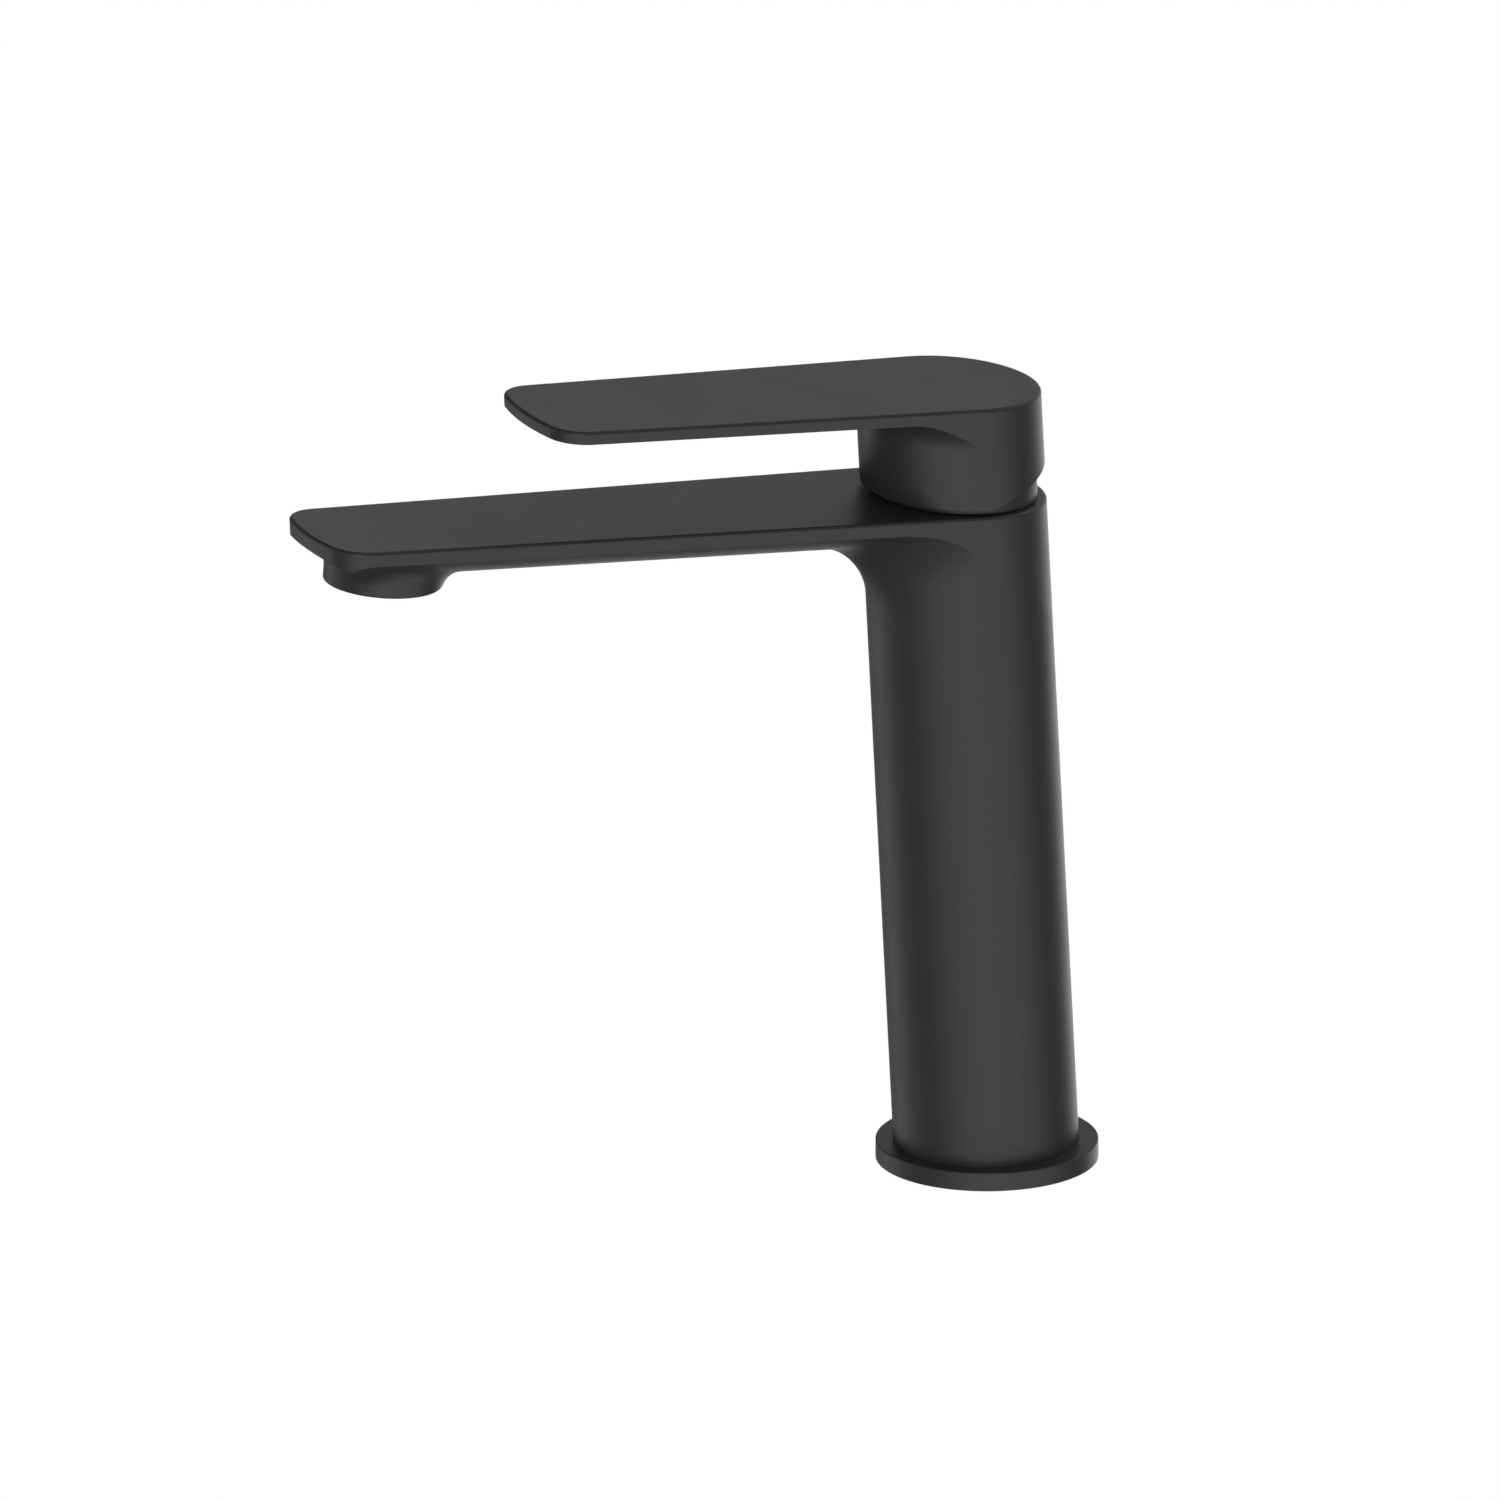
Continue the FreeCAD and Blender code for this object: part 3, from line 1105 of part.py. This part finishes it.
make_body()
make_base()
make_cartridge_base()
make_rings("port_seals", "-bore_depth", ("hot", "cold"))
make_rings("disc_seals", f"{BASE_TOP} - ring_cord", ("hot", "cold", "mixed"))
make_housing()
make_discs()
make_turret()
make_stop_ring()
make_stem()
make_nut()
make_dome()
make_handle()
make_lever_fittings()
make_aerator()
doc.recompute()

for item in doc.Objects:
    if "Invalid" in item.State or "Error" in item.State:
        raise ValueError(f"{item.Name} failed: {item.State}")
for part in parts:
    if part.Shape.isNull() or not part.Shape.isValid():
        raise ValueError(f"{part.Label} is not a valid solid")

os.makedirs("parts", exist_ok=True)
for part in parts:
    part.Shape.exportStep(f"parts/{part.Label}.step")
    print(f"{part.Label}: {len(part.Shape.Solids)} solid(s), {part.Shape.Volume:.1f} mm3")
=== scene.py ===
"""Looks of the basin mixer: finishes of its pieces, studio light and camera."""
import json
import math

import bpy
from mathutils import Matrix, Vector

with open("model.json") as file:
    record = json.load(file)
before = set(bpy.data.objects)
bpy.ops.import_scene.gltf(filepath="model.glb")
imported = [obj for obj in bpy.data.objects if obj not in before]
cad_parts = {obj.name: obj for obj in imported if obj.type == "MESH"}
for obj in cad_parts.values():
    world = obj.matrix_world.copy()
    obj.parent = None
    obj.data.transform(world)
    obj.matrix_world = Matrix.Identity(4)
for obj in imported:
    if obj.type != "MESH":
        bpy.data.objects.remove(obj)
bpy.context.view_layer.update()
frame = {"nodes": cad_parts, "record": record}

MICRON = 1e-6


# ---- camera ----

VIEW_TURN = math.radians(65.07)      # from facing +Y, towards the spout's near side
VIEW_RISE = math.radians(19.0)
VIEW_WIDTH = 0.36306                 # metres across the square picture
VIEW_RIGHT = -0.05735                # picture centre, along the view's right and up
VIEW_UP = 0.09805
VIEW_DISTANCE = 2.0
VIEW_REACH = 10.0                    # farthest that the camera sees


def view_axes():
    """Right, up and back of the view."""
    back = Vector((math.sin(VIEW_TURN) * math.cos(VIEW_RISE),
                   -math.cos(VIEW_TURN) * math.cos(VIEW_RISE), math.sin(VIEW_RISE)))
    right = Vector((math.cos(VIEW_TURN), math.sin(VIEW_TURN), 0))
    return right, back.cross(right), back


def add_camera():
    right, up, back = view_axes()
    camera = bpy.data.cameras.new("camera")
    camera.type = "ORTHO"
    camera.ortho_scale = VIEW_WIDTH
    camera.clip_end = VIEW_REACH
    holder = bpy.data.objects.new("camera", camera)
    holder.location = VIEW_RIGHT * right + VIEW_UP * up + VIEW_DISTANCE * back
    holder.rotation_euler = back.to_track_quat("Z", "Y").to_euler()
    bpy.context.collection.objects.link(holder)
    bpy.context.scene.camera = holder


# ---- shader maths ----

class Wire:
    """An output socket that Python's operators turn into Math nodes."""

    def __init__(self, shader, socket):
        self.shader = shader
        self.socket = socket

    def __add__(self, other):
        return self.shader.maths("ADD", self, other)

    __radd__ = __add__

    def __mul__(self, other):
        return self.shader.maths("MULTIPLY", self, other)

    __rmul__ = __mul__

    def __sub__(self, other):
        return self.shader.maths("SUBTRACT", self, other)

    def __rsub__(self, other):
        return self.shader.maths("SUBTRACT", other, self)


class Shader:
    """A material, or another owner of a node tree, under construction."""

    def __init__(self, name, owner=None):
        self.data = owner or bpy.data.materials.new(name)
        self.data.use_nodes = True
        self.tree = self.data.node_tree
        self.tree.nodes.clear()

    def add(self, kind, settings=None, inputs=None, output=0):
        """Adds a node, sets it up, joins its inputs and returns one of its outputs."""
        node = self.tree.nodes.new(kind)
        for name, setting in (settings or {}).items():
            setattr(node, name, setting)
        for name, feed in (inputs or {}).items():
            socket = node.inputs[name]
            if isinstance(feed, Wire):
                self.tree.links.new(feed.socket, socket)
            else:
                socket.default_value = feed
        return Wire(self, node.outputs[output]) if node.outputs else node

    def maths(self, operation, *terms):
        return self.add("ShaderNodeMath", {"operation": operation}, dict(enumerate(terms)))

    def seen(self):
        """1 for what the camera sees directly, otherwise 0."""
        return self.add("ShaderNodeLightPath", output="Is Camera Ray")

    def place(self):
        return self.add("ShaderNodeTexCoord", output="Object")

    def noise(self, scale, detail=2.0, roughness=0.5):
        return self.add("ShaderNodeTexNoise", None, {
            "Vector": self.place(), "Scale": scale, "Detail": detail, "Roughness": roughness})

    def blend(self, mask, first, second):
        return self.add("ShaderNodeMix", {"data_type": "RGBA"},
                        {"Factor": mask, "A": first, "B": second}, output="Result")

    def bump(self, height, strength, distance):
        return self.add("ShaderNodeBump", None, {
            "Height": height, "Strength": strength, "Distance": distance})

    def finish(self, inputs):
        """Closes a material with the surface that the inputs describe."""
        surface = self.add("ShaderNodeBsdfPrincipled", None, inputs)
        self.add("ShaderNodeOutputMaterial", None, {"Surface": surface})
        return self.data


# ---- finishes ----

GREY_TINT = (0.975, 1.0, 0.985)


def grey(level):
    return tuple(level * part for part in GREY_TINT) + (1.0,)


def powder_coat():
    """Matte black powder coat: faint orange peel, a finer grain and slightly uneven sheen."""
    shader = Shader("powder_coat")
    peel = shader.noise(scale=420)
    grain = shader.noise(scale=5200, roughness=0.6)
    cloud = shader.noise(scale=55, detail=3.0)
    return shader.finish({
        "Base Color": shader.blend(cloud, grey(0.030), grey(0.036)),
        "Roughness": 0.40 + 0.06 * cloud + 0.05 * grain,
        "Normal": shader.bump(0.7 * peel + 0.3 * grain, strength=0.25, distance=20 * MICRON),
    })


def moulded(name, first, second, roughness, scale=900):
    """Moulded plastic, rubber or fired ceramic: fine mottling and a soft texture."""
    shader = Shader(name)
    mottle = shader.noise(scale, detail=3.0)
    return shader.finish({
        "Base Color": shader.blend(mottle, first, second),
        "Roughness": roughness + 0.1 * mottle,
        "Normal": shader.bump(mottle, strength=0.2, distance=30 * MICRON),
    })


def turned_metal(name, first, second):
    """Machined metal with fine rings from the cutter."""
    shader = Shader(name)
    rings = shader.add("ShaderNodeTexWave", {"wave_type": "BANDS", "bands_direction": "Z"}, {
        "Vector": shader.place(), "Scale": 1200.0, "Distortion": 1.5, "Detail": 2.0})
    spots = shader.noise(scale=300, detail=3.0)
    return shader.finish({
        "Base Color": shader.blend(spots, first, second),
        "Metallic": 1.0,
        "Roughness": 0.25 + 0.12 * rings,
        "Normal": shader.bump(rings, strength=0.15, distance=10 * MICRON),
    })


def plug_plastic():
    return moulded("plug_plastic", grey(0.02), grey(0.03), roughness=0.45)


def grey_acetal():
    return moulded("grey_acetal", grey(0.30), grey(0.34), roughness=0.4)


def white_acetal():
    return moulded("white_acetal", grey(0.62), grey(0.68), roughness=0.38)


def red_acetal():
    return moulded("red_acetal", (0.30, 0.02, 0.015, 1), (0.36, 0.03, 0.02, 1), roughness=0.4)


def alumina():
    return moulded("alumina", grey(0.72), grey(0.76), roughness=0.12, scale=4000)


def nitrile():
    return moulded("nitrile", grey(0.012), grey(0.02), roughness=0.75)


def aerator_black():
    return moulded("aerator_black", grey(0.025), grey(0.03), roughness=0.4)


def aerator_grey():
    return moulded("aerator_grey", grey(0.34), grey(0.40), roughness=0.3)


def brass():
    return turned_metal("brass", (0.60, 0.42, 0.16, 1), (0.66, 0.48, 0.20, 1))


def stainless():
    return turned_metal("stainless", grey(0.50), grey(0.58))


SLOT_FINISHES = {
    "painted_brass": powder_coat,
    "painted_zinc": powder_coat,
    "black_plug": plug_plastic,
    "grey_plastic": grey_acetal,
    "white_plastic": white_acetal,
    "red_plastic": red_acetal,
    "ceramic": alumina,
    "black_rubber": nitrile,
    "bare_brass": brass,
    "steel": stainless,
    "aerator_shell": aerator_black,
    "aerator_plastic": aerator_grey,
}


def paint(node, material):
    slots = frame["nodes"][node].data.materials
    if len(slots) == 0:
        slots.append(material)
    for index in range(len(slots)):
        slots[index] = material


def dress_nodes():
    """Gives each piece the finish of its material slot."""
    materials = {finish: finish() for finish in dict.fromkeys(SLOT_FINISHES.values())}
    for entry in frame["record"]["subparts"]:
        paint(entry["node"], materials[SLOT_FINISHES[entry["material_slot"]]])


# ---- studio ----

FLOOR_HALF = 3.0
FLOOR_DROP = 0.0002                  # keeps the floor just clear of the flat underside
WHITE = (1.0, 1.0, 1.0, 1.0)
COOL = (0.972, 1.028, 1.0, 1.0)      # faint green of the studio's lamps

# soft lights round the mixer: turn from the camera's side, rise from the horizon, half width and
# half height of the even part (all in degrees), and strength; each fades out over FADE degrees
FADE = 30
SOFT_LIGHTS = {
    "front": (0, 25, 0, 15, 1.82),
    "low_front": (15, -20, 45, 0, 1.30),
    "low_right": (60, -50, 0, 0, 1.50),
    "right_high": (120, 40, 0, 0, 2.00),
    "behind": (165, -5, 15, 15, 0.67),
    "low_left": (-120, -20, 0, 0, 1.20),
    "left": (-90, 10, 0, 0, 1.09),
    "rim": (160, -24, 5, 0, 1.6),
    "overhead": (0, 90, 180, 0, 0.3),
}
FILL = 0.076                         # strength of the light between them


def add_floor():
    """Plain white floor, seen only from above, that lets the soft light from below through."""
    bpy.ops.object.select_all(action="DESELECT")
    bpy.ops.mesh.primitive_plane_add(size=2 * FLOOR_HALF, location=(0, 0, -FLOOR_DROP))
    floor = bpy.context.object
    floor.name = "floor"
    shader = Shader("floor_white")
    white = shader.add("ShaderNodeEmission", None, {"Color": WHITE, "Strength": 1.0})
    clear = shader.add("ShaderNodeBsdfTransparent")
    above = 1 - shader.add("ShaderNodeNewGeometry", output="Backfacing")
    surface = shader.add("ShaderNodeMixShader", None, {0: shader.seen() * above, 1: clear, 2: white})
    shader.add("ShaderNodeOutputMaterial", None, {"Surface": surface})
    floor.data.materials.append(shader.data)


def fade(shader, offset, flat):
    """1 within flat degrees of a light's middle, falling to 0 over FADE more."""
    past = shader.maths("ABSOLUTE", offset) - math.radians(flat)
    falling = shader.maths("MAXIMUM", 1 - past * (1 / math.radians(FADE)), 0)
    return shader.maths("MINIMUM", falling, 1)


def add_soft_lights():
    """The studio as a world: a faint fill, the soft lights, and plain white where the camera looks."""
    world = bpy.data.worlds.new("studio")
    shader = Shader("studio", world)
    direction = shader.add("ShaderNodeTexCoord", output="Generated")
    x, y, z = (shader.add("ShaderNodeSeparateXYZ", None, {0: direction}, output=axis) for axis in "XYZ")
    azimuth = shader.maths("ARCTAN2", x, 0 - y)
    height = shader.maths("ARCSINE", z)
    glow = FILL
    for turn, rise, flat_turn, flat_rise, strength in SOFT_LIGHTS.values():
        away = azimuth - (VIEW_TURN + math.radians(turn))
        away = shader.maths("ARCTAN2", shader.maths("SINE", away), shader.maths("COSINE", away))
        across = fade(shader, away, flat_turn)
        along = fade(shader, height - math.radians(rise), flat_rise)
        glow = glow + strength * across * along
    lit = shader.add("ShaderNodeBackground", None, {"Color": COOL, "Strength": glow})
    white = shader.add("ShaderNodeBackground", None, {"Color": WHITE, "Strength": 1.0})
    surface = shader.add("ShaderNodeMixShader", None, {0: shader.seen(), 1: lit, 2: white})
    shader.add("ShaderNodeOutputWorld", None, {"Surface": surface})
    bpy.context.scene.world = world


def light_studio():
    add_floor()
    add_soft_lights()
    bpy.context.scene.view_settings.view_transform = "Standard"


add_camera()
dress_nodes()
light_studio()
